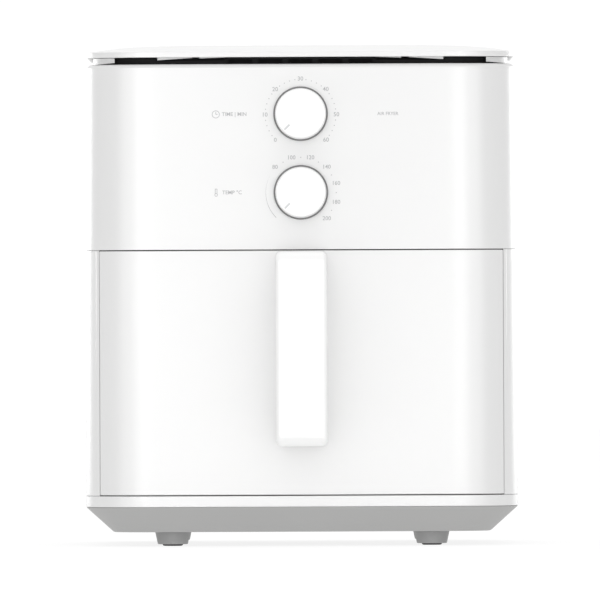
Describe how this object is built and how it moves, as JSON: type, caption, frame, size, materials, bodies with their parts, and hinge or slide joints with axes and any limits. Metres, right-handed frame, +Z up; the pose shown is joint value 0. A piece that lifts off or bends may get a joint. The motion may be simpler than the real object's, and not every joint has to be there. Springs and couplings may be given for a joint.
{
  "type": "air fryer",
  "caption": "Countertop air fryer with a floating lid over an intake slot, turning timer and heat dials, and a pull-out pan with a bar handle, on a tapered base with feet.",
  "frame": {"origin": "on the floor, under the middle of the whole object's box", "axes": "+Z up, the front with the handle faces -Y, +X to the viewer's right when facing the front"},
  "size_m": [0.288, 0.382, 0.3335],
  "materials": {
    "white_shell": "smooth white moulded plastic, satin gloss",
    "dial_white": "white moulded plastic, satin",
    "grey_base": "light grey moulded plastic, fine grain",
    "foot_grey": "mid grey moulded plastic",
    "black_plastic": "black moulded plastic",
    "foot_rubber": "black rubber",
    "silicone": "dark silicone",
    "dial_ring": "dark satin trim",
    "steel": "bright steel",
    "galvanised_sheet": "galvanised sheet",
    "laminations": "stacked electrical steel",
    "fan_aluminium": "stamped aluminium",
    "coil_steel": "heat-darkened stainless tube",
    "copper": "enamelled copper",
    "bronze": "sintered bronze",
    "phenolic": "dark moulded phenolic",
    "non_stick": "dark non-stick coating on steel"
  },
  "bodies": {
    "housing": {"top_cover": "white_shell", "upper_shell": "white_shell", "lower_shell": "white_shell", "base_ring": "white_shell", "rear_vent_cover": "white_shell", "base_cover": "grey_base", "intake_grille": "black_plastic", "mid_frame": "black_plastic", "cord_gland": "black_plastic", "terminal_block": "phenolic", "timer_body": "phenolic", "thermostat_body": "phenolic", "switch_body": "phenolic", "thermal_cutout": "phenolic", "timer_ring": "dial_ring", "thermostat_ring": "dial_ring", "exhaust_duct": "galvanised_sheet", "chamber_liner": "galvanised_sheet", "heater_dome": "galvanised_sheet", "motor_bracket": "galvanised_sheet", "motor_cap": "galvanised_sheet", "sensor_bulb": "steel", "heater_guard": "steel", "motor_stator": "laminations", "heating_element": "coil_steel", "motor_coil": "copper", "bearing_lower": "bronze", "bearing_upper": "bronze", "sensor_tube": "copper", "foot_front_left": "foot_grey", "foot_pad_front_left": "foot_rubber", "foot_front_right": "foot_grey", "foot_pad_front_right": "foot_rubber", "foot_rear_left": "foot_grey", "foot_pad_rear_left": "foot_rubber", "foot_rear_right": "foot_grey", "foot_pad_rear_right": "foot_rubber"},
    "drawer": {"drawer_front": "white_shell", "drawer_inner_panel": "white_shell", "handle_shell": "white_shell", "handle_cover": "white_shell", "handle_screw_lower": "steel", "handle_screw_upper": "steel", "pan_bracket": "galvanised_sheet", "pan": "non_stick"},
    "crisper": {"crisper_plate": "non_stick", "plate_bumper_right": "silicone", "plate_bumper_rear": "silicone", "plate_bumper_left": "silicone", "plate_bumper_front": "silicone"},
    "fan": {"motor_shaft": "steel", "motor_rotor": "laminations", "hot_air_fan": "fan_aluminium", "cooling_fan": "black_plastic", "fan_nut": "steel"},
    "timer_dial": {"timer_knob": "dial_white", "timer_shaft": "steel"},
    "thermostat_dial": {"thermostat_knob": "dial_white", "thermostat_shaft": "steel"},
    "plunger": {"switch_plunger": "white_shell"}
  },
  "joints": [
    {"name": "drawer_slide", "type": "slide", "parent": "housing", "child": "drawer", "axis": [0, -1, 0], "range_m": [0, 0.29]},
    {"name": "plate_lift", "type": "slide", "parent": "drawer", "child": "crisper", "axis": [0, 0, 1], "range_m": [0, 0.108]},
    {"name": "fan_spin", "type": "hinge", "parent": "housing", "child": "fan", "pos_m": [0, 0.024, 0.21], "axis": [0, 0, 1], "continuous": true},
    {"name": "timer_turn", "type": "hinge", "parent": "housing", "child": "timer_dial", "pos_m": [0, -0.14, 0.2871], "axis": [0, 1, 0], "range_deg": [0, 270]},
    {"name": "thermostat_turn", "type": "hinge", "parent": "housing", "child": "thermostat_dial", "pos_m": [0, -0.14, 0.2349], "axis": [0, 1, 0], "range_deg": [0, 270]},
    {"name": "switch_press", "type": "slide", "parent": "housing", "child": "plunger", "axis": [0, 0, 1], "range_m": [0, 0.0015], "stiffness_N_per_m": 150, "springref_m": -0.002}
  ]
}
